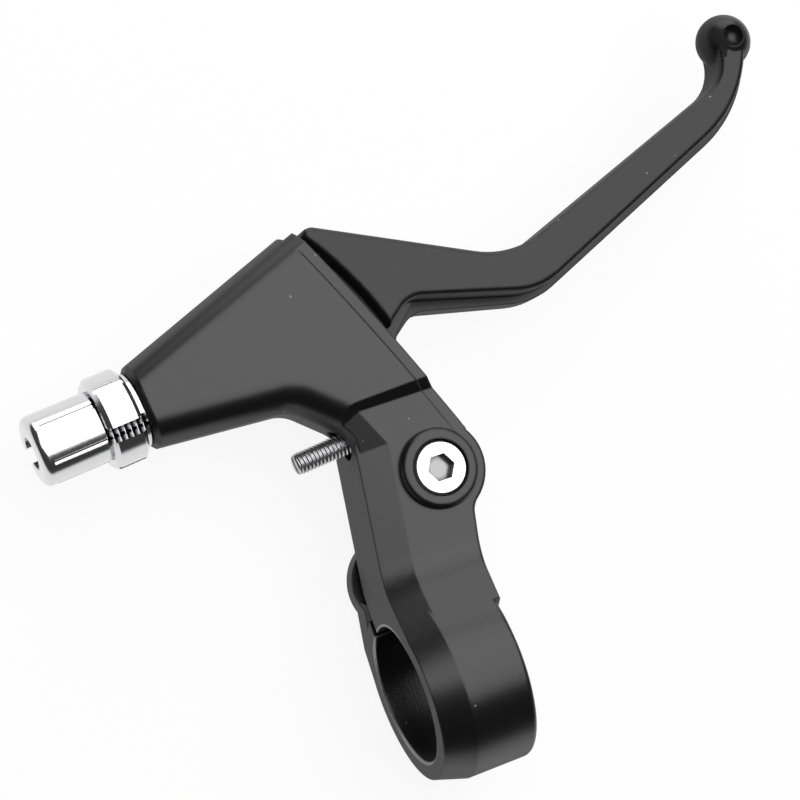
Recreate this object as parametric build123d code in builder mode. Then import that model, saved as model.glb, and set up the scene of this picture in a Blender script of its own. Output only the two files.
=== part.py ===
"""Right-hand bicycle brake lever for a flat handlebar.

The origin is the middle of the handlebar clamp, on the bar's axis. +X runs along the bar towards its free
end, +Y runs forward from the bar to the lever, and +Z is up, along the lever's pivot bolt. Millimetres.
"""

import os
from math import cos, radians, sin, tan

from build123d import *

os.makedirs("parts", exist_ok=True)

# Handlebar clamp
bar_diameter = 22.2
bar_clearance = 0.05
clamp_wall = 4.45
clamp_width = 15.5
rim_round = 0.8
bore_chamfer = 0.4
bevel_drop = 1.6
bevel_length = 5.0
slit_width = 1.9
slit_round = 2.5
clamp_bolt_y = 17.0
strap_end_radius = 7.5
strap_rise = 2.3

# Lever pivot, measured from the middle of the clamp
pivot_x = 7.9
pivot_y = 31.8
pivot_bolt_diameter = 5.0
pivot_head_diameter = 8.8
pivot_head_height = 2.4
pivot_socket = 4.0
pivot_nut_width = 8.0
pivot_nut_height = 2.4
running_gap = 0.05
seat_gap = 0.02

# Bracket
neck_top = 6.0
underside = 7.4
ramp_angle = 40.0
ramp_round = 9.0
neck_lean = 7.9
neck_foot_drop = 7.6
ear_radius = 8.0
ear_blend = 3.5
ear_round = 0.5
boss_radius = 6.4
boss_height = 1.6
boss_round = 0.9
hood_reach = 41.2
hood_forward = 23.7
hood_top = 7.5
hood_end_height = 12.6
hood_end_width = 13.3
hood_round = 5.2
hood_corner_round = 6.0
hood_end_chamfer = 0.8
mouth_side = 9.7
mouth_forward = 42.2
step_forward = 12.4
step_angle = 40.0
corner_run = 6.1
corner_turn = 25.0
corner_slope = 19.0
lip_width = 1.8
lip_depth = 0.4
lip_front_depth = 0.8
lip_round = 0.3

# Barrel adjuster and lock nut
barrel_tilt = 5.0
thread_diameter = 10.0
thread_depth = 9.0
barrel_diameter = 11.4
barrel_length = 10.5
barrel_round = 1.2
flute_count = 6
flute_radius = 0.55
flute_runout = 1.8
cable_slot = 2.4
cable_hole = 3.0
housing_diameter = 5.0
housing_gap = 0.15
housing_depth = 7.0
lock_nut_diameter = 15.0
lock_nut_length = 5.6
lock_nut_round = 0.7
lock_nut_slot_angle = 22.0
collar_diameter = 12.0
collar_length = 0.8
end_gap = 0.3

# Reach screw
reach_screw_forward = 9.05
reach_pad_side = 5.5
reach_screw_diameter = 3.6
reach_screw_length = 14.5
reach_screw_slot = 0.8
reach_screw_gap = 0.3
spot_face_diameter = 5.6
spot_face_depth = 0.8

# Lever; its reach and forward sizes run from the pivot to the ball end
blade_reach = 76.0
blade_forward = 53.1
tongue_thickness = 6.4
tongue_gap = 0.6
washer_thickness = 0.4
washer_gap = 0.02
washer_radius = 6.0
eye_radius = 6.2
bush_wall = 1.4
nipple_side = 7.4
nipple_diameter = 7.0
nipple_gap = 0.15
nipple_wall = 1.9
root_thickness = 12.0
tip_thickness = 7.4
tip_round = 1.1
shoulder_round = 1.8
ledge_width = 1.2
ledge_root_side = 1.3
ledge_root_forward = 2.1
edge_round = 1.0
finger_bend_round = 16.0
bar_bend_round = 13.0
bar_corner_round = 5.0
ball_radius = 4.7
dimple_radius = 1.9

# Clamp bolt
clamp_bolt_diameter = 5.0
clamp_head_diameter = 8.5
clamp_head_height = 3.5
clamp_head_recess = 1.5
clamp_thread_cover = 2.0
clamp_socket = 3.0

# Screw heads
socket_chamfer = 0.4
socket_share = 0.7

bore_radius = bar_diameter / 2 + bar_clearance
clamp_radius = bore_radius + clamp_wall
half_width = clamp_width / 2
far = 120.0


def from_pivot(dx, dy):
    """A plan point given from the pivot's axis."""
    return (pivot_x + dx, pivot_y + dy)


def on_hood(side, forward):
    """A plan point in shares of the hood's reach."""
    return from_pivot(side * hood_reach, forward * hood_forward)


def on_mouth(side, forward):
    """A plan point in shares of the place of the mouth's front corner."""
    return from_pivot(side * mouth_side, forward * mouth_forward)


def on_ear(side, forward):
    """A plan point in shares of the pivot ear's radius."""
    return from_pivot(side * ear_radius, forward * ear_radius)


def on_blade(side, forward):
    """A plan point in shares of the ball end's place."""
    return from_pivot(side * blade_reach, forward * blade_forward)


def direction(angle):
    """The plan direction at an angle in degrees."""
    return Vector(cos(radians(angle)), sin(radians(angle)))


# The barrel's own plane: its origin is the middle of the hood's end, z points out along the barrel,
# x points forward and y points down to the underside
hood_end = Vector(*on_hood(-1, 1))
barrel_forward = direction(90 + barrel_tilt)
barrel_plane = Plane(
    origin=hood_end,
    x_dir=barrel_forward,
    z_dir=direction(180 + barrel_tilt),
)

# Plan outline of the bracket
hood_end_front = hood_end + barrel_forward * (hood_end_width / 2)
hood_end_back = hood_end - barrel_forward * (hood_end_width / 2)
hood_front = Vector(*on_mouth(-1.27, 1.0))
hood_front_far = hood_end_front + (hood_front - hood_end_front) * 2
rim_top = on_mouth(-1, 1)
rim_middle = on_mouth(-0.07, 0.54)
rim_end = on_ear(0.83, 0.56)
neck_right = on_ear(0.53, -0.61)
neck_along = direction(90 - neck_lean)
neck_foot = Vector(-half_width, clamp_radius - neck_foot_drop)
neck_left_plane = Plane(origin=neck_foot, x_dir=neck_along, z_dir=direction(-neck_lean))


def neck_left(y):
    """The plan point of the neck's left side at a place forward of the bar."""
    return neck_foot + neck_along * ((y - neck_foot.Y) / neck_along.Y)


reach_y = pivot_y + reach_screw_forward
hood_corner = on_hood(-0.46, 0.67)
neck_corner = neck_left(reach_y)

# The hood's top steps down to the neck at step_y, and its rounded corner runs out on the neck's bevel
step_y = pivot_y + step_forward
corner_end = neck_left(step_y - corner_run) + Vector(bevel_length, 0, neck_top)
corner_along = direction(90 + corner_turn)
corner_up = Vector(0, 0, 1).rotate(Axis((0, 0, 0), tuple(corner_along)), -corner_slope)
corner_plane = Plane(origin=corner_end, x_dir=corner_along, z_dir=corner_up)

# The hood's sloping faces, carried on past both ends
hood_rise = (hood_top - hood_end_height / 2) / (rim_middle[0] - hood_end.X)
left_half = hood_end_height / 2 - hood_rise * hood_reach
right_half = hood_top + hood_rise * hood_reach
left_x = hood_end.X - hood_reach
right_x = rim_middle[0] + hood_reach

# Side view of the clamp and neck, as points (Y, Z)
strap_end = clamp_bolt_y + strap_end_radius
strap_bottom = clamp_radius - strap_rise
tangent_y = clamp_radius * sin(radians(ramp_angle))
tangent_z = clamp_radius * cos(radians(ramp_angle))
ramp_end = tangent_y + (tangent_z - neck_top) / tan(radians(ramp_angle))
slit_z = -underside - slit_width / 2
slit_knee = (clamp_bolt_y - slit_width / 4, slit_z)
slit_start = (bore_radius * 0.7, -bore_radius * 0.35)

# Heights of the pivot's stack
tongue_half = tongue_thickness / 2
pocket_half = tongue_half + washer_thickness + 2 * washer_gap
boss_top = neck_top + boss_height
head_seat = boss_top - pivot_head_height
nut_seat = underside - pivot_nut_height
bolt_radius = pivot_bolt_diameter / 2
bush_radius = bolt_radius + running_gap + bush_wall

# Lever outline; the finger side faces forward and the bar side faces the handlebar
tip_corner = on_mouth(-0.98, 1.0)
tip_shoulder = on_mouth(-0.68, 1.005)
root_middle = on_mouth(-0.22, 0.72)
root_corner = Vector(*on_mouth(0.19, 0.51))
bar_corner = Vector(*on_mouth(0.68, 0.596))
finger_bend = on_blade(0.321, 0.537)
finger_hook = on_blade(0.895, 0.847)
bar_bend = Vector(*on_blade(0.359, 0.388))
bar_hook = Vector(*on_blade(0.868, 0.695))
ball_centre = on_blade(1, 1)
hook_in = Vector(ball_centre[0] - ball_radius * 0.7, ball_centre[1])
hook_out = Vector(ball_centre[0] + ball_radius * 0.8, ball_centre[1])
nipple_radius = nipple_diameter / 2 + nipple_gap
lobe_radius = nipple_radius + nipple_wall
nipple_x = pivot_x - nipple_side
nipple_y = hood_end.Y + (nipple_x - hood_end.X) * tan(radians(barrel_tilt))
reach_pad_x = pivot_x - reach_pad_side
reach_plane = Plane(origin=(reach_pad_x, reach_y), x_dir=barrel_forward, z_dir=barrel_plane.z_dir)

# Barrel and clamp bolt
barrel_axis = Axis(tuple(hood_end), tuple(barrel_plane.z_dir))
barrel_start = end_gap + collar_length + lock_nut_length + end_gap
nipple_reach = (nipple_x - hood_end.X) / cos(radians(barrel_tilt))
flute_start = -90 - lock_nut_slot_angle
spot_face_x = neck_corner.X + spot_face_depth
clamp_seat = strap_bottom - clamp_head_recess
clamp_thread_top = neck_top - clamp_thread_cover


def blade_outline(inset, root_shift):
    """The blade's plan outline, narrowed on the handlebar's side by an inset and at the root by a shift."""
    back = Vector(0, inset)
    arm_back = (bar_hook - bar_bend).normalized().rotate(Axis.Z, 90) * inset
    outer_end = hook_out - Vector(inset, 0)
    with BuildSketch() as outline:
        with BuildLine():
            finger = FilletPolyline(
                tip_corner,
                tip_shoulder,
                finger_bend,
                finger_hook,
                radius=[shoulder_round, finger_bend_round],
            )
            TangentArc(finger @ 1, hook_in, tangent=finger % 1)
            Line(hook_in, outer_end)
            bar = FilletPolyline(
                root_corner + root_shift,
                bar_corner + root_shift,
                bar_bend + back,
                bar_hook + arm_back,
                radius=[bar_corner_round, bar_bend_round],
            )
            TangentArc(bar @ 1, outer_end, tangent=bar % 1)
            ThreePointArc(root_corner + root_shift, root_middle, tip_corner)
        make_face()
        fillet(vertices().sort_by_distance(tip_corner)[0], radius=tip_round)
    return outline.sketch


def lip_path():
    """The rim of the hood's mouth, carried on past its front corner."""
    rim_line = ThreePointArc(rim_end, rim_middle, rim_top)
    Line(rim_line @ 1, rim_line @ 1 + (rim_line % 1) * mouth_side)


def step_outline(foot):
    """The side view of what the hood's step takes away down to a foot height."""
    rise = 2 * hood_top - foot
    Polyline(
        (0, foot),
        (step_y, foot),
        (step_y + rise / tan(radians(step_angle)), 2 * hood_top),
        (0, 2 * hood_top),
        close=True,
    )


def hood_slopes(lowered):
    """The front view of the hood between its sloping faces, with the upper one lowered."""
    Polyline(
        (left_x, -left_half),
        (right_x, -right_half),
        (right_x, right_half - lowered),
        (left_x, left_half - lowered),
        close=True,
    )


def tongue_outline():
    """The lever's tongue between the bracket's ears: the pivot eye, the reach pad and the nipple lobe."""
    lobe_left = (nipple_x - lobe_radius * 0.94, nipple_y - lobe_radius * 0.34)
    lobe_front = (nipple_x - lobe_radius * 0.64, nipple_y + lobe_radius * 0.77)
    with BuildSketch() as outline:
        with Locations(from_pivot(0, 0)):
            Circle(eye_radius)
        with Locations((nipple_x, nipple_y)):
            Circle(lobe_radius)
        with BuildLine():
            Polyline(
                from_pivot(-eye_radius * 0.88, eye_radius * 0.47),
                (reach_pad_x, reach_y + reach_screw_diameter),
                lobe_left,
                lobe_front,
                on_mouth(-0.57, 0.84),
                on_mouth(0.06, 0.85),
                on_mouth(0.6, 0.62),
                on_mouth(0.19, 0.53),
                on_mouth(0.13, 0.505),
                on_mouth(0.16, 0.32),
                from_pivot(eye_radius * 0.8, eye_radius * 0.6),
                close=True,
            )
        make_face()
    return outline.sketch


with BuildPart() as clamp_blank:
    with BuildSketch(Plane.YZ):
        Circle(clamp_radius)
        with BuildLine():
            Polyline(
                (0, -clamp_radius),
                (strap_end, -strap_bottom),
                (strap_end, -underside),
                (0, -underside),
                close=True,
            )
        make_face()
    extrude(amount=half_width, both=True)
    rim_face = clamp_blank.faces().sort_by(Axis.X)[0]
    chamfer(rim_face.outer_wire().edges(), length=bevel_drop, length2=bevel_length, reference=rim_face)
    right_face = clamp_blank.faces().sort_by(Axis.X)[-1]
    fillet(right_face.outer_wire().edges(), radius=rim_round)
    # The strap follows the neck's left side and ends round about the clamp bolt
    with BuildSketch():
        with BuildLine():
            Polyline(
                (-half_width, -clamp_radius - clamp_wall),
                (half_width, -clamp_radius - clamp_wall),
                (half_width, clamp_bolt_y),
                neck_left(clamp_bolt_y),
                neck_foot,
                close=True,
            )
        make_face()
        with Locations((0, clamp_bolt_y)):
            Circle(strap_end_radius)
    extrude(amount=far, both=True, mode=Mode.INTERSECT)

with BuildPart() as neck_blank:
    with BuildSketch(Plane.YZ):
        with BuildLine():
            slope = FilletPolyline(
                (0, tangent_z + tangent_y * tan(radians(ramp_angle))),
                (ramp_end, neck_top),
                (far, neck_top),
                radius=ramp_round,
            )
            Polyline(slope @ 1, (far, -underside), (0, -underside), slope @ 0)
        make_face()
    extrude(amount=far, both=True)
    # The bevel along the left edge carries on the bevel of the clamp's rim
    split(bisect_by=neck_left_plane)
    left_face = faces().sort_by(Axis.X)[0]
    top_edges = left_face.edges().filter_by(lambda e: e.center().Z > neck_top - 0.1)
    chamfer(top_edges, length=bevel_drop, length2=bevel_length, reference=left_face)
    with BuildSketch():
        with BuildLine():
            Polyline(
                (-half_width, 0),
                (-half_width, step_y),
                rim_middle,
                rim_end,
                from_pivot(0, 0),
                neck_right,
                (half_width, neck_foot.Y * 0.7),
                (half_width, 0),
                close=True,
            )
        make_face()
        with Locations(from_pivot(0, 0)):
            Circle(ear_radius)
        fillet(vertices().sort_by_distance(on_ear(0.43, -0.9))[0], radius=ear_blend)
    extrude(amount=far, both=True, mode=Mode.INTERSECT)
    right_edges = edges().filter_by(lambda e: e.center().Z > neck_top - 0.1 and e.center().X > pivot_x / 2)
    fillet(right_edges.filter_by(lambda e: e.center().Y < step_y), radius=ear_round)
    # The neck ends on the clamp ring
    with BuildSketch(Plane.YZ):
        with BuildLine():
            Polyline(
                slit_knee,
                slit_start,
                (0, 0),
                (2 * tangent_y, 2 * tangent_z),
                (-far, 2 * tangent_z),
                (-far, -far),
                (clamp_bolt_y, -far),
                close=True,
            )
        make_face()
    extrude(amount=far, both=True, mode=Mode.SUBTRACT)

# What is taken off the hood where its rounded corner runs out on the neck
with BuildPart() as corner_cutter:
    with BuildSketch(Plane.YZ):
        with BuildLine():
            step_run = far / tan(radians(step_angle))
            Polyline(
                (step_y - step_run, neck_top - far),
                (step_y + step_run, neck_top + far),
                (-2 * far, neck_top + far),
                (-2 * far, neck_top - far),
                close=True,
            )
        make_face()
    extrude(amount=far, both=True)
    split(bisect_by=corner_plane)

with BuildPart() as hood_blank:
    with BuildSketch():
        with BuildLine():
            Polyline(
                hood_end_front,
                hood_front_far,
                rim_end,
                neck_left(pivot_y - ear_radius),
                neck_corner,
                hood_corner,
                hood_end_back,
                close=True,
            )
        make_face()
        inner_corners = [vertices().sort_by_distance(corner)[0] for corner in (neck_corner, hood_corner)]
        fillet(inner_corners, radius=hood_corner_round)
    extrude(amount=far, both=True)
    with BuildSketch(Plane.XZ):
        with BuildLine():
            hood_slopes(0)
        make_face()
    extrude(amount=far, both=True, mode=Mode.INTERSECT)
    side_faces = faces().filter_by(lambda f: abs(f.normal_at().Z) < 0.1)
    long_sides = side_faces.filter_by(lambda f: f.center().X < pivot_x and f.normal_at().X > -0.99)
    long_edges = long_sides.edges().filter_by(lambda e: abs((e % 0.5).Z) < 0.5)
    fillet(long_edges, radius=hood_round)
    end_face = faces().sort_by(Axis((0, 0, 0), tuple(barrel_plane.z_dir)))[-1]
    chamfer(end_face.outer_wire().edges(), length=hood_end_chamfer)
    # The top steps down to the neck
    with BuildSketch(Plane.YZ):
        with BuildLine():
            step_outline(neck_top)
        make_face()
    extrude(amount=far, both=True, mode=Mode.SUBTRACT)
    add(corner_cutter.part, mode=Mode.SUBTRACT)

with BuildPart() as boss_blank:
    with Locations((*from_pivot(0, 0), 0)):
        Cylinder(boss_radius, boss_top, align=(Align.CENTER, Align.CENTER, Align.MIN))
    fillet(edges().sort_by(Axis.Z)[-1], radius=boss_round)

# What lies under the shallow lip inside the mouth's rim: it follows the hood's top, the step and the
# neck's top, and runs out beside the boss
with BuildPart() as lip_floor:
    with BuildSketch(Plane.XZ):
        with BuildLine():
            hood_slopes(lip_depth)
        make_face()
    extrude(amount=far, both=True)
    with BuildSketch(Plane.YZ):
        with BuildLine():
            step_outline(neck_top - lip_depth)
        make_face()
    extrude(amount=far, both=True, mode=Mode.SUBTRACT)
    with BuildSketch(Plane.YZ):
        with BuildLine():
            Polyline(
                (0, neck_top),
                (rim_end[1], neck_top),
                (step_y, neck_top - lip_depth),
                (far, neck_top - lip_depth),
                (far, 0),
                (0, 0),
                close=True,
            )
        make_face()
    extrude(amount=far, both=True)

with BuildPart() as lip_cutter:
    with BuildSketch():
        with BuildLine():
            lip_path()
        trace(line_width=2 * lip_width)
    extrude(amount=far)
    add(lip_floor.part, mode=Mode.SUBTRACT)
    with BuildSketch():
        with BuildLine():
            Line(hood_end_front, hood_front_far)
        trace(line_width=2 * lip_front_depth)
        with BuildLine():
            lip_path()
        trace(line_width=2 * lip_width, mode=Mode.INTERSECT)
    extrude(amount=far, both=True)

with BuildPart() as bracket:
    add(clamp_blank.part)
    add(neck_blank.part)
    add(hood_blank.part)
    # Mouth of the hood, where the lever's root comes out
    with BuildSketch():
        with BuildLine():
            rim = ThreePointArc(rim_end, rim_middle, rim_top)
            Polyline(rim @ 1, (rim_top[0], far), (far, far), (far, rim_end[1]), rim @ 0)
        make_face()
    extrude(amount=far, both=True, mode=Mode.SUBTRACT)
    add(lip_cutter.part, mode=Mode.SUBTRACT)
    lip_edge = edges().sort_by_distance((rim_middle[0] - lip_width, rim_middle[1], hood_top))[0]
    fillet(lip_edge, radius=lip_round)
    add(boss_blank.part)
    # Pocket for the lever's tongue, open on the lever's side
    with BuildSketch():
        add(tongue_outline())
        offset(amount=tongue_gap)
        pocket_floor = -eye_radius - tongue_gap
        with BuildLine():
            Polyline(
                from_pivot(0, pocket_floor),
                from_pivot(far, pocket_floor),
                (far, on_mouth(0, 0.85)[1]),
                on_mouth(0.06, 0.85),
                close=True,
            )
        make_face()
    extrude(amount=pocket_half, both=True, mode=Mode.SUBTRACT)
    # Handlebar bore
    with BuildSketch(Plane.YZ):
        Circle(bore_radius)
    extrude(amount=far, both=True, mode=Mode.SUBTRACT)
    with BuildSketch(Plane.YZ.offset(-half_width)):
        Circle(bore_radius + bore_chamfer)
    extrude(amount=bore_chamfer, taper=45, mode=Mode.SUBTRACT)
    # Slit between the neck and the clamp's ear
    with BuildSketch(Plane.YZ):
        with BuildLine():
            FilletPolyline((far, slit_z), slit_knee, slit_start, radius=slit_round)
        trace(line_width=slit_width)
    extrude(amount=far, both=True, mode=Mode.SUBTRACT)
    # Clamp bolt: thread in the neck, clearance and counterbore in the ear
    with BuildSketch(Plane.XY.offset(-far)):
        with Locations((0, clamp_bolt_y)):
            Circle(clamp_head_diameter / 2 + 2 * housing_gap)
    extrude(amount=far - clamp_seat, mode=Mode.SUBTRACT)
    with BuildSketch(Plane.XY.offset(-far)):
        with Locations((0, clamp_bolt_y)):
            Circle(clamp_bolt_diameter / 2 + seat_gap)
    extrude(amount=far + clamp_thread_top, mode=Mode.SUBTRACT)
    # Pivot bolt: hole, head recess on top and nut recess underneath
    with BuildSketch():
        with Locations(from_pivot(0, 0)):
            Circle(bolt_radius + seat_gap)
    extrude(amount=far, both=True, mode=Mode.SUBTRACT)
    with BuildSketch(Plane.XY.offset(head_seat)):
        with Locations(from_pivot(0, 0)):
            Circle(pivot_head_diameter / 2 + housing_gap)
    extrude(amount=far, mode=Mode.SUBTRACT)
    with BuildSketch(Plane.XY.offset(-far)):
        with Locations(from_pivot(0, 0)):
            RegularPolygon(pivot_nut_width / 2 + seat_gap, 6, major_radius=False)
    extrude(amount=far - nut_seat, mode=Mode.SUBTRACT)
    # Reach screw hole with a spot face on the neck's left side
    with BuildSketch(reach_plane):
        Circle(reach_screw_diameter / 2 + seat_gap)
    extrude(amount=far, mode=Mode.SUBTRACT)
    with BuildSketch(reach_plane.offset(reach_pad_x - spot_face_x)):
        Circle(spot_face_diameter / 2)
    extrude(amount=far, mode=Mode.SUBTRACT)
    # Adjuster thread, cable passage and the slot that lets the cable in from below
    with BuildSketch(barrel_plane):
        Circle(thread_diameter / 2 + running_gap)
    extrude(amount=-thread_depth - end_gap, mode=Mode.SUBTRACT)
    with BuildSketch(barrel_plane):
        Circle(cable_hole / 2)
        with Locations((0, far / 2)):
            Rectangle(cable_slot, far)
    extrude(amount=-nipple_reach, mode=Mode.SUBTRACT)
    with BuildSketch():
        with Locations((nipple_x, nipple_y)):
            Circle(nipple_radius + tongue_gap)
    extrude(amount=-far, mode=Mode.SUBTRACT)
bracket.part.label = "bracket"

with BuildPart() as lever_blade:
    # The upper half is narrower on the bar side, which leaves a ledge along the blade
    with BuildSketch():
        add(blade_outline(0, Vector(0, 0)))
    extrude(amount=-far)
    with BuildSketch():
        add(blade_outline(ledge_width, Vector(-ledge_root_side, ledge_root_forward)))
    extrude(amount=far)
    with BuildSketch(Plane.XZ):
        with BuildLine():
            Polyline(
                (tip_corner[0], -root_thickness / 2),
                (ball_centre[0] + ball_radius, -tip_thickness / 2),
                (ball_centre[0] + ball_radius, tip_thickness / 2),
                (tip_corner[0], root_thickness / 2),
                close=True,
            )
        make_face()
    extrude(amount=far, both=True, mode=Mode.INTERSECT)
    level_faces = faces().filter_by(lambda f: abs(f.normal_at().Z) > 0.9).sort_by(SortBy.AREA)[-2:]
    # The edges inside the ball stay sharp
    long_edges = level_faces.edges().filter_by(lambda e: e.center().Y < ball_centre[1] - edge_round)
    fillet(long_edges, radius=edge_round)
    # Ball end with a dimple
    with Locations((*ball_centre, 0)):
        Sphere(ball_radius)
    with Locations((*ball_centre, ball_radius)):
        Sphere(dimple_radius, mode=Mode.SUBTRACT)
    # Tongue between the ears, with the eye, the nipple seat and the cable slot
    with BuildSketch():
        add(tongue_outline())
    extrude(amount=tongue_half, both=True)
    with BuildSketch():
        with Locations(from_pivot(0, 0)):
            Circle(bush_radius + seat_gap)
        with Locations((nipple_x, nipple_y)):
            Circle(nipple_radius)
    extrude(amount=far, both=True, mode=Mode.SUBTRACT)
    with BuildSketch(barrel_plane):
        Circle(cable_slot / 2)
        with Locations((0, far / 2)):
            Rectangle(cable_slot, far)
    extrude(amount=-nipple_reach, mode=Mode.SUBTRACT)
lever_blade.part.label = "lever_blade"

with BuildPart() as pivot_bolt:
    with BuildSketch(Plane.XY.offset(head_seat)):
        with Locations(from_pivot(0, 0)):
            Circle(pivot_head_diameter / 2)
    extrude(amount=pivot_head_height)
    chamfer(edges().sort_by(Axis.Z)[-1], length=socket_chamfer)
    with BuildSketch(Plane.XY.offset(boss_top)):
        with Locations(from_pivot(0, 0)):
            RegularPolygon(pivot_socket / 2, 6, major_radius=False)
    extrude(amount=-pivot_head_height * socket_share, mode=Mode.SUBTRACT)
    with BuildSketch(Plane.XY.offset(head_seat)):
        with Locations(from_pivot(0, 0)):
            Circle(bolt_radius)
    extrude(amount=-head_seat - underside)
pivot_bolt.part.label = "pivot_bolt"

with BuildPart() as pivot_nut:
    with BuildSketch(Plane.XY.offset(-underside)):
        with Locations(from_pivot(0, 0)):
            RegularPolygon(pivot_nut_width / 2, 6, major_radius=False)
            Circle(bolt_radius + seat_gap, mode=Mode.SUBTRACT)
    extrude(amount=pivot_nut_height)
pivot_nut.part.label = "pivot_nut"

with BuildPart() as pivot_bush:
    with BuildSketch():
        with Locations(from_pivot(0, 0)):
            Circle(bush_radius)
            Circle(bolt_radius + running_gap, mode=Mode.SUBTRACT)
    extrude(amount=tongue_half, both=True)
pivot_bush.part.label = "pivot_bush"

with BuildPart() as upper_washer:
    with BuildSketch(Plane.XY.offset(tongue_half + washer_gap)):
        with Locations(from_pivot(0, 0)):
            Circle(washer_radius)
            Circle(bolt_radius + running_gap, mode=Mode.SUBTRACT)
    extrude(amount=washer_thickness)
upper_washer.part.label = "upper_washer"

with BuildPart() as lower_washer:
    add(upper_washer.part.mirror(Plane.XY))
lower_washer.part.label = "lower_washer"

with BuildPart() as barrel_adjuster:
    with BuildSketch(barrel_plane.offset(barrel_start)):
        Circle(barrel_diameter / 2)
    extrude(amount=barrel_length)
    fillet(barrel_adjuster.faces().sort_by(barrel_axis)[-1].edges(), radius=barrel_round)
    with BuildSketch(barrel_plane.offset(barrel_start)):
        with PolarLocations(barrel_diameter / 2 + flute_radius * 0.3, flute_count):
            Circle(flute_radius)
    extrude(amount=barrel_length - flute_runout, mode=Mode.SUBTRACT)
    with BuildSketch(barrel_plane.offset(barrel_start)):
        Circle(thread_diameter / 2)
    extrude(amount=-barrel_start - thread_depth)
    with BuildSketch(barrel_plane.offset(-thread_depth)):
        Circle(cable_hole / 2)
        with Locations((0, far / 2)):
            Rectangle(cable_slot, far)
    extrude(amount=far, mode=Mode.SUBTRACT)
    with BuildSketch(barrel_plane.offset(barrel_start + barrel_length)):
        Circle(housing_diameter / 2 + housing_gap)
    extrude(amount=-housing_depth, mode=Mode.SUBTRACT)
barrel_adjuster.part.label = "barrel_adjuster"

with BuildPart() as lock_nut:
    with BuildSketch(barrel_plane.offset(end_gap)):
        Circle(collar_diameter / 2)
    extrude(amount=collar_length)
    with BuildSketch(barrel_plane.offset(end_gap + collar_length)):
        Circle(lock_nut_diameter / 2)
    extrude(amount=lock_nut_length)
    chamfer(
        edges().filter_by(GeomType.CIRCLE).filter_by(lambda e: e.radius > collar_diameter / 2 + 0.1),
        length=lock_nut_round,
    )
    with BuildSketch(barrel_plane):
        with PolarLocations(lock_nut_diameter / 2 + flute_radius * 0.3, flute_count, start_angle=flute_start):
            Circle(flute_radius)
        Circle(thread_diameter / 2 + running_gap)
        with Locations(Location((0, 0, 0), (0, 0, flute_start))):
            with Locations((lock_nut_diameter / 2, 0)):
                Rectangle(lock_nut_diameter, cable_slot)
    extrude(amount=far, mode=Mode.SUBTRACT)
lock_nut.part.label = "lock_nut"

with BuildPart() as reach_screw:
    with BuildSketch(reach_plane.offset(reach_screw_gap)):
        Circle(reach_screw_diameter / 2)
    extrude(amount=reach_screw_length)
    chamfer(edges().filter_by(GeomType.CIRCLE), length=reach_screw_slot / 2)
    with BuildSketch(reach_plane.offset(reach_screw_gap + reach_screw_length)):
        Rectangle(reach_screw_diameter, reach_screw_slot)
    extrude(amount=-reach_screw_slot * 1.5, mode=Mode.SUBTRACT)
reach_screw.part.label = "reach_screw"

with BuildPart() as clamp_bolt:
    with BuildSketch(Plane.XY.offset(-clamp_seat)):
        with Locations((0, clamp_bolt_y)):
            Circle(clamp_head_diameter / 2)
    extrude(amount=-clamp_head_height)
    chamfer(edges().sort_by(Axis.Z)[0], length=socket_chamfer)
    with BuildSketch(Plane.XY.offset(-clamp_seat - clamp_head_height)):
        with Locations((0, clamp_bolt_y)):
            RegularPolygon(clamp_socket / 2, 6, major_radius=False)
    extrude(amount=clamp_head_height * socket_share, mode=Mode.SUBTRACT)
    with BuildSketch(Plane.XY.offset(-clamp_seat)):
        with Locations((0, clamp_bolt_y)):
            Circle(clamp_bolt_diameter / 2)
    extrude(amount=clamp_seat + clamp_thread_top - end_gap)
clamp_bolt.part.label = "clamp_bolt"

for piece in (
    bracket,
    lever_blade,
    pivot_bolt,
    pivot_nut,
    pivot_bush,
    upper_washer,
    lower_washer,
    barrel_adjuster,
    lock_nut,
    reach_screw,
    clamp_bolt,
):
    export_step(piece.part, f"parts/{piece.part.label}.step")
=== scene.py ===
"""Looks of the bicycle brake lever: satin black castings and polished screws on a white studio floor."""

import math

import bmesh
import bpy
from mathutils import Matrix, Vector


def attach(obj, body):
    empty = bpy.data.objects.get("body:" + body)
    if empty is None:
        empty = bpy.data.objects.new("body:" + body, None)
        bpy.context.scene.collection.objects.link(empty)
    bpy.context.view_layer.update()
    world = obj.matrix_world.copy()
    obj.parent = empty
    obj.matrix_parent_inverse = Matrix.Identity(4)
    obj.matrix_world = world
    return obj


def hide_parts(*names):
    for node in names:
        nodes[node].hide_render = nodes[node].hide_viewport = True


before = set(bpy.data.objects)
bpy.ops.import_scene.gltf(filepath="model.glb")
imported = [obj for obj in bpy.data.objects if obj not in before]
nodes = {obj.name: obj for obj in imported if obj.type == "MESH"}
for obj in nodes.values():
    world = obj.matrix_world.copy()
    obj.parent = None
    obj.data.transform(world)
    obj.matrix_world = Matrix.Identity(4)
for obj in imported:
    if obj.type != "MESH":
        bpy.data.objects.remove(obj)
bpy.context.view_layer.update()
scene = bpy.context.scene
scene.view_settings.view_transform = "Standard"

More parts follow.
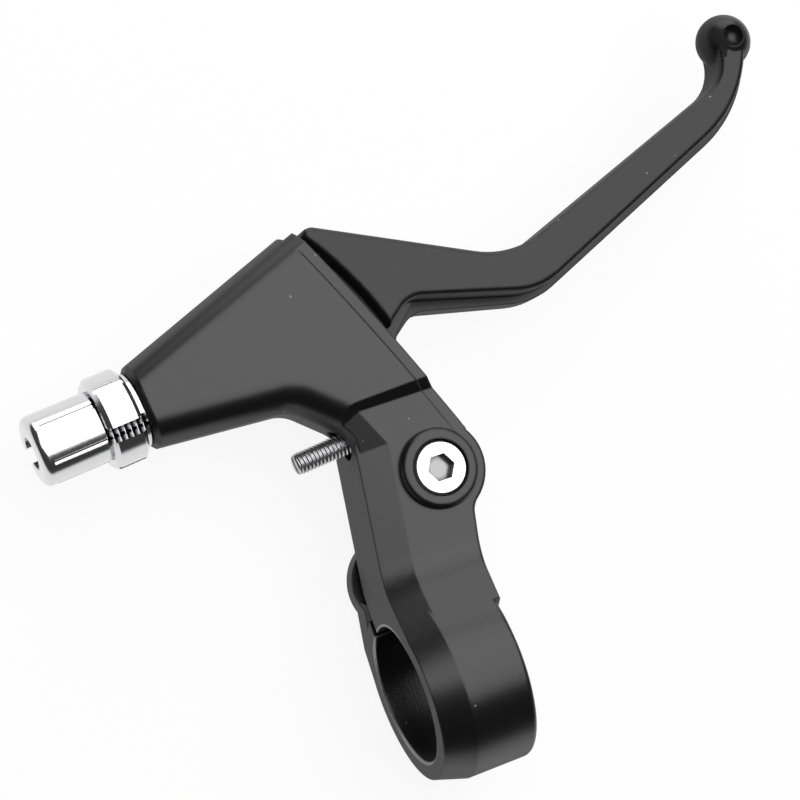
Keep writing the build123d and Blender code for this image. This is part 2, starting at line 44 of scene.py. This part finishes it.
# Places and sizes of the CAD part, in metres
hood_end = Vector((-0.0333, 0.0555, 0))
barrel_tilt = math.radians(5)
barrel_way = Vector((-math.cos(barrel_tilt), -math.sin(barrel_tilt), 0))
barrel_forward = Vector((-barrel_way.y, barrel_way.x, 0))
barrel_start = 0.007
thread_radius = 0.005
reach_pad = Vector((0.0024, 0.04085, 0))
reach_gap = 0.0003
screw_length = 0.0145
screw_radius = 0.0018
screw_slot = 0.0008
screw_slot_depth = screw_slot * 1.5
screw_chamfer = screw_slot / 2
pivot_middle = Vector((0.0079, 0.0318, 0))
pivot_head_top = 0.0076
upright = Vector((0, 0, 1))
bore_middle = Vector((0, 0, 0))
bore_way = Vector((1, 0, 0))
bore_radius = 0.01115
bore_chamfer = 0.0004

# The adjuster's thread: a helical groove, cut by a triangle that stands out of the thread
thread_pitch = 0.001
thread_root = 0.00445
thread_start = 0.0002
thread_end = 0.0068
groove_top = 0.00506
groove_half = 0.000488
groove_steps = 48
merge_distance = 1e-6

# The reach screw's thread and slot
screw_pitch = 0.00065
screw_depth = 0.0002
flank_slope = 3.2
root_share = 0.3
screw_sides = 48
screw_rows = 232
slot_half = screw_slot * 0.51
sharp_angle = math.radians(30)

# Black paint, with noise scales in cells to a metre and colours as linear red, green and blue
paint_colour = (0.005, 0.005, 0.0054)
grain_scale = 2600.0
grain_strength = 0.25
grain_height = 0.00004
paint_spread = 0.15
edge_round = 0.0004
side_rough = 0.3
side_upward = 0.25
top_upward = 0.65
speck_scale = 500.0
speck_size = 0.09
speck_choice = 0.94
speck_colour = (0.2, 0.19, 0.18)
bare_from = bore_radius + bore_chamfer * 0.1
bare_to = bore_radius + bore_chamfer * 1.05
bare_colour = (0.3, 0.3, 0.31)
bare_metallic = 0.8
line_scale = 5000.0
line_height = 3.0

# The ragged pit on the ball end, which narrows along its way, with painted shade in it
pit_top = Vector((0.0816, 0.0847, 0.004))
pit_way = Vector((-0.14, -0.99, 0))
pit_start = -0.0019
pit_wide_at = -0.0015
pit_narrow_at = 0.0045
pit_wide = 0.0031
pit_narrow = 0.0008
pit_scale = 700.0
pit_ragged = 0.0022
pit_rough = 0.5
pit_painted_shade = (0.001, 0.001, 0.001)

# Bright metals
aluminium = (0.74, 0.74, 0.75)
aluminium_rough = 0.18
steel = (0.55, 0.55, 0.56)
steel_rough = 0.34
head_steel = (0.72, 0.72, 0.73)
head_rough = 0.2
metal_gloss_scale = 900.0
metal_spread = 0.2
metal_tone_scale = 160.0
metal_tone = 0.9
# Painted shade in the adjuster's thread grooves
thread_groove_shade = (0.02, 0.02, 0.02)
shank_end = barrel_start - 0.0001
# Painted shade in the pivot bolt's hexagon socket: dark walls, and a floor that darkens from its middle to
# its corners
socket_radius = 0.00232
socket_below = pivot_head_top - 0.00012
socket_shade_start = 0.0012
socket_shade_full = 0.0021
socket_middle_shade = (0.26, 0.26, 0.26)
socket_corner_shade = (0.07, 0.07, 0.07)
socket_wall_shade = (0.03, 0.03, 0.03)
socket_upward = 0.5

# Black plastic
plastic_gloss_scale = 1500.0
plastic_smooth = 0.5
plastic_rough = 0.65
plastic_tone_scale = 300.0
plastic_dark = (0.02, 0.02, 0.02)
plastic_light = (0.03, 0.03, 0.03)

# Studio: the camera at the photograph's angle, the floor and the light
camera_right = Vector((0.901, -0.328, 0.286))
camera_back = Vector((-0.316, -0.041, 0.948))
camera_place = Vector((-0.10396, 0.02965, 0.3349))
camera_lens = 99.54
camera_sensor = 36.0
camera_near = 0.01
floor_half = 4
floor_level = -0.016
floor_middle = Vector((0.02, 0.04, 0))
# The floor's painted pool of light: white near the object, fading to grey far from it, shown by its glow to
# the camera and in reflections
pool_white_to = 0.12
pool_grey_from = 0.5
floor_pool_white = (1, 1, 1)
floor_falloff_grey = (0.4, 0.4, 0.4)
floor_glow = 0.9
world_strength = 0.05


def material(name):
    """A new node material, its tree and its shader."""
    made = bpy.data.materials.new(name)
    made.use_nodes = True
    tree = made.node_tree
    return made, tree, tree.nodes["Principled BSDF"]


def feed(tree, socket, value):
    """Links an input to another node's output, or sets it to a plain value."""
    if isinstance(value, bpy.types.NodeSocket):
        tree.links.new(value, socket)
    else:
        socket.default_value = value


def add_node(tree, kind, operation=None, **inputs):
    """A node with some of its inputs given by name or, as in_0, by number."""
    node = tree.nodes.new(kind)
    if operation:
        node.operation = operation
    for name, value in inputs.items():
        key = int(name[3:]) if name.startswith("in_") else name.replace("_", " ")
        feed(tree, node.inputs[key], value)
    return node


def maths(tree, operation, *values):
    """The result of a math node."""
    inputs = {f"in_{number}": value for number, value in enumerate(values)}
    return add_node(tree, "ShaderNodeMath", operation, **inputs).outputs[0]


def ramp(tree, value, start, end, first=0.0, last=1.0):
    """A number that goes from first to last while the value goes from start to end."""
    limits = {"From_Min": start, "From_Max": end, "To_Min": first, "To_Max": last}
    return add_node(tree, "ShaderNodeMapRange", Value=value, **limits).outputs[0]


def uneven(tree, share, value, spread):
    """A number that varies by a part of itself, both ways."""
    return ramp(tree, share, 0.0, 1.0, value * (1 - spread), value * (1 + spread))


def blend_colour(tree, share, first, second):
    """A colour between two others, each an output or red, green and blue."""
    node = tree.nodes.new("ShaderNodeMix")
    node.data_type = "RGBA"
    feed(tree, node.inputs[0], share)
    for socket, colour in ((node.inputs[6], first), (node.inputs[7], second)):
        feed(tree, socket, (*colour, 1) if isinstance(colour, tuple) else colour)
    return node.outputs[2]


def object_place(tree):
    """The place on the object."""
    return tree.nodes.new("ShaderNodeTexCoord").outputs["Object"]


def upward(tree):
    """The upward part of the surface's normal."""
    normal = tree.nodes.new("ShaderNodeNewGeometry").outputs["Normal"]
    return add_node(tree, "ShaderNodeSeparateXYZ", Vector=normal).outputs["Z"]


def noise(tree, place, scale):
    """Noise over the object."""
    return add_node(tree, "ShaderNodeTexNoise", Vector=place, Scale=scale).outputs["Fac"]


def from_axis(tree, place, start, way):
    """The distance from an axis, and the distance along it."""
    shift = add_node(tree, "ShaderNodeVectorMath", "SUBTRACT", in_0=place, in_1=start).outputs["Vector"]
    turn = add_node(tree, "ShaderNodeVectorMath", "CROSS_PRODUCT", in_0=shift, in_1=way).outputs["Vector"]
    away = add_node(tree, "ShaderNodeVectorMath", "LENGTH", in_0=turn).outputs["Value"]
    along = add_node(tree, "ShaderNodeVectorMath", "DOT_PRODUCT", in_0=shift, in_1=way).outputs["Value"]
    return away, along


def dust(tree, place):
    """A mask of a few small specks."""
    cells = add_node(tree, "ShaderNodeTexVoronoi", Vector=place, Scale=speck_scale).outputs
    speck = maths(tree, "LESS_THAN", cells["Distance"], speck_size)
    chance = add_node(tree, "ShaderNodeSeparateColor", Color=cells["Color"]).outputs[0]
    return maths(tree, "MULTIPLY", speck, maths(tree, "GREATER_THAN", chance, speck_choice))


def pit_shade_mask(tree, place):
    """A mask of the ragged pit on the ball end, where shade is painted."""
    away, along = from_axis(tree, place, pit_top, pit_way)
    ragged = maths(tree, "MULTIPLY_ADD", noise(tree, place, pit_scale), pit_ragged, away)
    width = ramp(tree, along, pit_wide_at, pit_narrow_at, pit_wide, pit_narrow)
    started = maths(tree, "GREATER_THAN", along, pit_start)
    return maths(tree, "MULTIPLY", maths(tree, "LESS_THAN", ragged, width), started)


def bore_masks(tree, place):
    """Masks of the clamp's bore and of its bare chamfer, and the place along the bore."""
    away, along = from_axis(tree, place, bore_middle, bore_way)
    inside = maths(tree, "LESS_THAN", away, bare_to)
    bare = maths(tree, "MULTIPLY", inside, maths(tree, "GREATER_THAN", away, bare_from))
    return inside, bare, along


def paint_relief(tree, grain, inside, along):
    """The normal of grained paint with softened edges, and of the bore with its machining lines."""
    across = add_node(tree, "ShaderNodeCombineXYZ", X=along).outputs[0]
    lines = maths(tree, "MULTIPLY", noise(tree, across, line_scale), inside)
    height = maths(tree, "ADD", maths(tree, "MULTIPLY", lines, line_height), grain)
    edges = add_node(tree, "ShaderNodeBevel", Radius=edge_round).outputs[0]
    bump = add_node(tree, "ShaderNodeBump", Strength=grain_strength, Distance=grain_height)
    tree.links.new(height, bump.inputs["Height"])
    tree.links.new(edges, bump.inputs["Normal"])
    return bump.outputs["Normal"]


def satin_black(name, roughness, shine):
    """Satin black paint with grain and dust, rougher on steep sides, a bore machined after painting, and
    painted shade in the ball end's pit.
    """
    made, tree, shader = material(name)
    place = object_place(tree)
    grain = noise(tree, place, grain_scale)
    inside, bare, along = bore_masks(tree, place)
    pit = pit_shade_mask(tree, place)
    colour = blend_colour(tree, dust(tree, place), paint_colour, speck_colour)
    colour = blend_colour(tree, bare, colour, bare_colour)
    # Painted shade: the ball end's pit is made near black
    colour = blend_colour(tree, pit, colour, pit_painted_shade)
    side = ramp(tree, maths(tree, "ABSOLUTE", upward(tree)), side_upward, top_upward, side_rough, 0.0)
    gloss = maths(tree, "ADD", uneven(tree, grain, roughness, paint_spread), side)
    tree.links.new(colour, shader.inputs["Base Color"])
    tree.links.new(maths(tree, "MULTIPLY", bare, bare_metallic), shader.inputs["Metallic"])
    tree.links.new(maths(tree, "MULTIPLY_ADD", pit, pit_rough, gloss), shader.inputs["Roughness"])
    tree.links.new(paint_relief(tree, grain, inside, along), shader.inputs["Normal"])
    shader.inputs["Specular IOR Level"].default_value = shine
    return made


def bright_metal(name, colour, roughness, stain=None):
    """Metal with a fine grain in its gloss. An optional function paints shade into its colour in places."""
    made, tree, shader = material(name)
    place = object_place(tree)
    gloss = uneven(tree, noise(tree, place, metal_gloss_scale), roughness, metal_spread)
    dull = tuple(part * metal_tone for part in colour)
    tone = blend_colour(tree, noise(tree, place, metal_tone_scale), dull, colour)
    # Painted shade, where a function for it is given
    if stain:
        tone = stain(tree, place, tone)
    tree.links.new(gloss, shader.inputs["Roughness"])
    tree.links.new(tone, shader.inputs["Base Color"])
    shader.inputs["Metallic"].default_value = 1.0
    return made


def socket_painted_shade(tree, place, tone):
    """Painted shade in the hexagon socket: dark walls, and a floor that darkens towards the corners."""
    away, along = from_axis(tree, place, pivot_middle, upright)
    sunk = maths(tree, "LESS_THAN", along, socket_below)
    inside = maths(tree, "MULTIPLY", sunk, maths(tree, "LESS_THAN", away, socket_radius))
    corner = ramp(tree, away, socket_shade_start, socket_shade_full)
    bottom = blend_colour(tree, corner, socket_middle_shade, socket_corner_shade)
    level = maths(tree, "GREATER_THAN", upward(tree), socket_upward)
    return blend_colour(tree, inside, tone, blend_colour(tree, level, socket_wall_shade, bottom))


def thread_painted_shade(tree, place, tone):
    """Painted shade in the grooves of the adjuster's thread."""
    away, along = from_axis(tree, place, hood_end, barrel_way)
    shank = maths(tree, "LESS_THAN", along, shank_end)
    deep = ramp(tree, away, thread_root, thread_radius, 1.0, 0.0)
    return blend_colour(tree, maths(tree, "MULTIPLY", deep, shank), tone, thread_groove_shade)


def dark_plastic(name):
    """Matte black plastic with a fine grain."""
    made, tree, shader = material(name)
    place = object_place(tree)
    gloss = ramp(tree, noise(tree, place, plastic_gloss_scale), 0.0, 1.0, plastic_smooth, plastic_rough)
    tone = blend_colour(tree, noise(tree, place, plastic_tone_scale), plastic_dark, plastic_light)
    tree.links.new(gloss, shader.inputs["Roughness"])
    tree.links.new(tone, shader.inputs["Base Color"])
    return made


plain_steel = bright_metal("bright_steel", steel, steel_rough)
plastic = dark_plastic("bearing_plastic")
looks = {
    "bracket": satin_black("black_paint", roughness=0.3, shine=0.62),
    "lever_blade": satin_black("black_blade_paint", roughness=0.34, shine=0.47),
    "pivot_bolt": bright_metal("socket_steel", head_steel, head_rough, socket_painted_shade),
    "barrel_adjuster": bright_metal("polished_aluminium", aluminium, aluminium_rough, thread_painted_shade),
    "lock_nut": bright_metal("polished_nut", aluminium, aluminium_rough),
    "pivot_nut": plain_steel,
    "clamp_bolt": plain_steel,
    "reach_screw": plain_steel,
    "pivot_bush": plastic,
    "upper_washer": plastic,
    "lower_washer": plastic,
}
for name, node in nodes.items():
    node.data.materials.clear()
    node.data.materials.append(looks[name])


def piece_from(name, vertices, faces):
    """A mesh object in the scene, with its faces turned outward."""
    data = bpy.data.meshes.new(name)
    data.from_pydata(vertices, [], faces)
    shaped = bmesh.new()
    shaped.from_mesh(data)
    bmesh.ops.recalc_face_normals(shaped, faces=shaped.faces)
    shaped.to_mesh(data)
    shaped.free()
    piece = bpy.data.objects.new(name, data)
    scene.collection.objects.link(piece)
    return piece


def swept(name, rings):
    """A closed mesh along rings of as many points each."""
    count = len(rings[0])
    last = (len(rings) - 1) * count
    faces = [tuple(range(count)), tuple(range(last, last + count))]
    for first in range(0, last, count):
        for step in range(count):
            after = (step + 1) % count
            faces.append((first + step, first + after, first + count + after, first + count + step))
    return piece_from(name, [point for ring in rings for point in ring], faces)


def cut_away(piece, cutter):
    """Takes one mesh out of another, and the cutter out of the scene."""
    cut = piece.modifiers.new("cut", "BOOLEAN")
    cut.operation = "DIFFERENCE"
    cut.solver = "EXACT"
    cut.object = cutter
    bpy.context.view_layer.update()
    graph = bpy.context.evaluated_depsgraph_get()
    data = bpy.data.meshes.new_from_object(piece.evaluated_get(graph))
    piece.modifiers.clear()
    piece.data = data
    bpy.data.objects.remove(cutter)


def smooth(piece):
    """Shades a mesh smooth up to its sharp edges, with large faces kept even."""
    stored = piece.data.attributes.get("custom_normal")
    if stored:
        piece.data.attributes.remove(stored)
    piece.data.polygons.foreach_set("use_smooth", [True] * len(piece.data.polygons))
    piece.data.set_sharp_from_angle(angle=sharp_angle)
    even = piece.modifiers.new("even", "WEIGHTED_NORMAL")
    even.keep_sharp = True


def spoke(turn):
    """The direction from the barrel's or screw's axis at a part of a turn."""
    angle = turn * 2 * math.pi
    return barrel_forward * math.cos(angle) + Vector((0, 0, math.sin(angle)))


def screw_radius_at(along, turn):
    """The radius of the screw's thread at a length along it and a part of a turn."""
    share = (along / screw_pitch - turn) % 1.0
    tooth = min(1.0, max(0.0, abs(share - 0.5) * flank_slope - root_share))
    end = min(along, screw_length - along)
    return min(screw_radius - screw_depth * (1 - tooth), screw_radius - screw_chamfer + end)


def threaded_screw():
    """The reach screw with its thread and its slot."""
    start = reach_pad + barrel_way * reach_gap
    turns = [side / screw_sides for side in range(screw_sides)]
    rings = []
    for row in range(screw_rows + 1):
        along = screw_length * row / screw_rows
        middle = start + barrel_way * along
        rings.append([middle + spoke(turn) * screw_radius_at(along, turn) for turn in turns])
    screw = swept("threaded_reach_screw", rings)
    across = barrel_forward * screw_radius * 2
    half = Vector((0, 0, slot_half))
    slot_rings = []
    for along in (screw_length - screw_slot_depth, screw_length + screw_slot):
        upper = start + barrel_way * along + half
        lower = start + barrel_way * along - half
        slot_rings.append([upper + across, upper - across, lower - across, lower + across])
    cut_away(screw, swept("slot", slot_rings))
    smooth(screw)
    return screw


def threaded_adjuster():
    """The barrel adjuster with its thread cut."""
    data = nodes["barrel_adjuster"].data.copy()
    joined = bmesh.new()
    joined.from_mesh(data)
    bmesh.ops.remove_doubles(joined, verts=joined.verts, dist=merge_distance)
    joined.to_mesh(data)
    joined.free()
    adjuster = bpy.data.objects.new("threaded_adjuster", data)
    scene.collection.objects.link(adjuster)
    side = barrel_way * groove_half
    rings = []
    for step in range(int((thread_end - thread_start) / thread_pitch * groove_steps) + 1):
        middle = hood_end + barrel_way * (thread_start + thread_pitch * step / groove_steps)
        out = spoke(step / groove_steps)
        top = middle + out * groove_top
        rings.append([top + side, top - side, middle + out * thread_root])
    cut_away(adjuster, swept("thread", rings))
    smooth(adjuster)
    return adjuster


screw = threaded_screw()
screw.data.materials.clear()
screw.data.materials.append(plain_steel)
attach(screw, "reach_screw_body")
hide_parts("reach_screw")

adjuster = threaded_adjuster()
adjuster.data.materials.clear()
adjuster.data.materials.append(looks["barrel_adjuster"])
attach(adjuster, "adjuster_body")
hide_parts("barrel_adjuster")

right = camera_right.normalized()
back = (camera_back - right * camera_back.dot(right)).normalized()
turned = Matrix((right, back.cross(right), back)).transposed().to_4x4()
camera = bpy.data.objects.new("camera", bpy.data.cameras.new("camera"))
scene.collection.objects.link(camera)
camera.matrix_world = Matrix.Translation(camera_place) @ turned
camera.data.lens = camera_lens
camera.data.sensor_width = camera_sensor
camera.data.clip_start = camera_near
scene.camera = camera


def white_floor():
    """A floor with a painted pool of light, white under the object and grey far from it, which keeps a
    faint shadow.
    """
    made, tree, shader = material("floor")
    tree.nodes.remove(shader)
    away = from_axis(tree, object_place(tree), floor_middle, upright)[0]
    # Painted pool of light: the colour fades from white to grey away from the object
    colour = blend_colour(tree, ramp(tree, away, pool_white_to, pool_grey_from), floor_pool_white, floor_falloff_grey)
    path = tree.nodes.new("ShaderNodeLightPath").outputs
    seen = maths(tree, "ADD", path["Is Camera Ray"], path["Is Glossy Ray"])
    seen = maths(tree, "MINIMUM", maths(tree, "ADD", seen, path["Is Transmission Ray"]), 1.0)
    share = maths(tree, "MULTIPLY", seen, floor_glow)
    matte = add_node(tree, "ShaderNodeBsdfDiffuse", Color=colour).outputs[0]
    glow = add_node(tree, "ShaderNodeEmission", Color=colour, Strength=1.0).outputs[0]
    mix = add_node(tree, "ShaderNodeMixShader", in_0=share, in_1=matte, in_2=glow)
    tree.links.new(mix.outputs[0], tree.nodes["Material Output"].inputs["Surface"])
    return made


floor_mesh = bpy.data.meshes.new("floor")
floor_corners = [(floor_half * x, floor_half * y, 0) for x, y in ((-1, -1), (1, -1), (1, 1), (-1, 1))]
floor_mesh.from_pydata(floor_corners, [], [(0, 1, 2, 3)])
floor_mesh.materials.append(white_floor())
floor = bpy.data.objects.new("floor", floor_mesh)
floor.location = (0, 0, floor_level)
scene.collection.objects.link(floor)


def softbox(name, place, aim, size, radiance):
    """A rectangular area lamp at a place, turned to a point."""
    data = bpy.data.lights.new(name, "AREA")
    data.shape = "RECTANGLE"
    data.size, data.size_y = size
    data.energy = radiance * math.pi * size[0] * size[1]
    lamp = bpy.data.objects.new(name, data)
    scene.collection.objects.link(lamp)
    lamp.location = place
    lamp.rotation_euler = (Vector(aim) - Vector(place)).to_track_quat("-Z", "Y").to_euler()


softbox("over", place=(0.25, 0.25, 0.9), aim=(0.1, 0.05, 0), size=(1.3, 1.3), radiance=2.3)
softbox("front", place=(0.5, 1.3, 0.4), aim=(0.05, 0.05, 0.05), size=(1.5, 0.9), radiance=2.0)
world = bpy.data.worlds.new("studio")
scene.world = world
world.use_nodes = True
background = world.node_tree.nodes["Background"]
background.inputs["Color"].default_value = (1, 1, 1, 1)
background.inputs["Strength"].default_value = world_strength
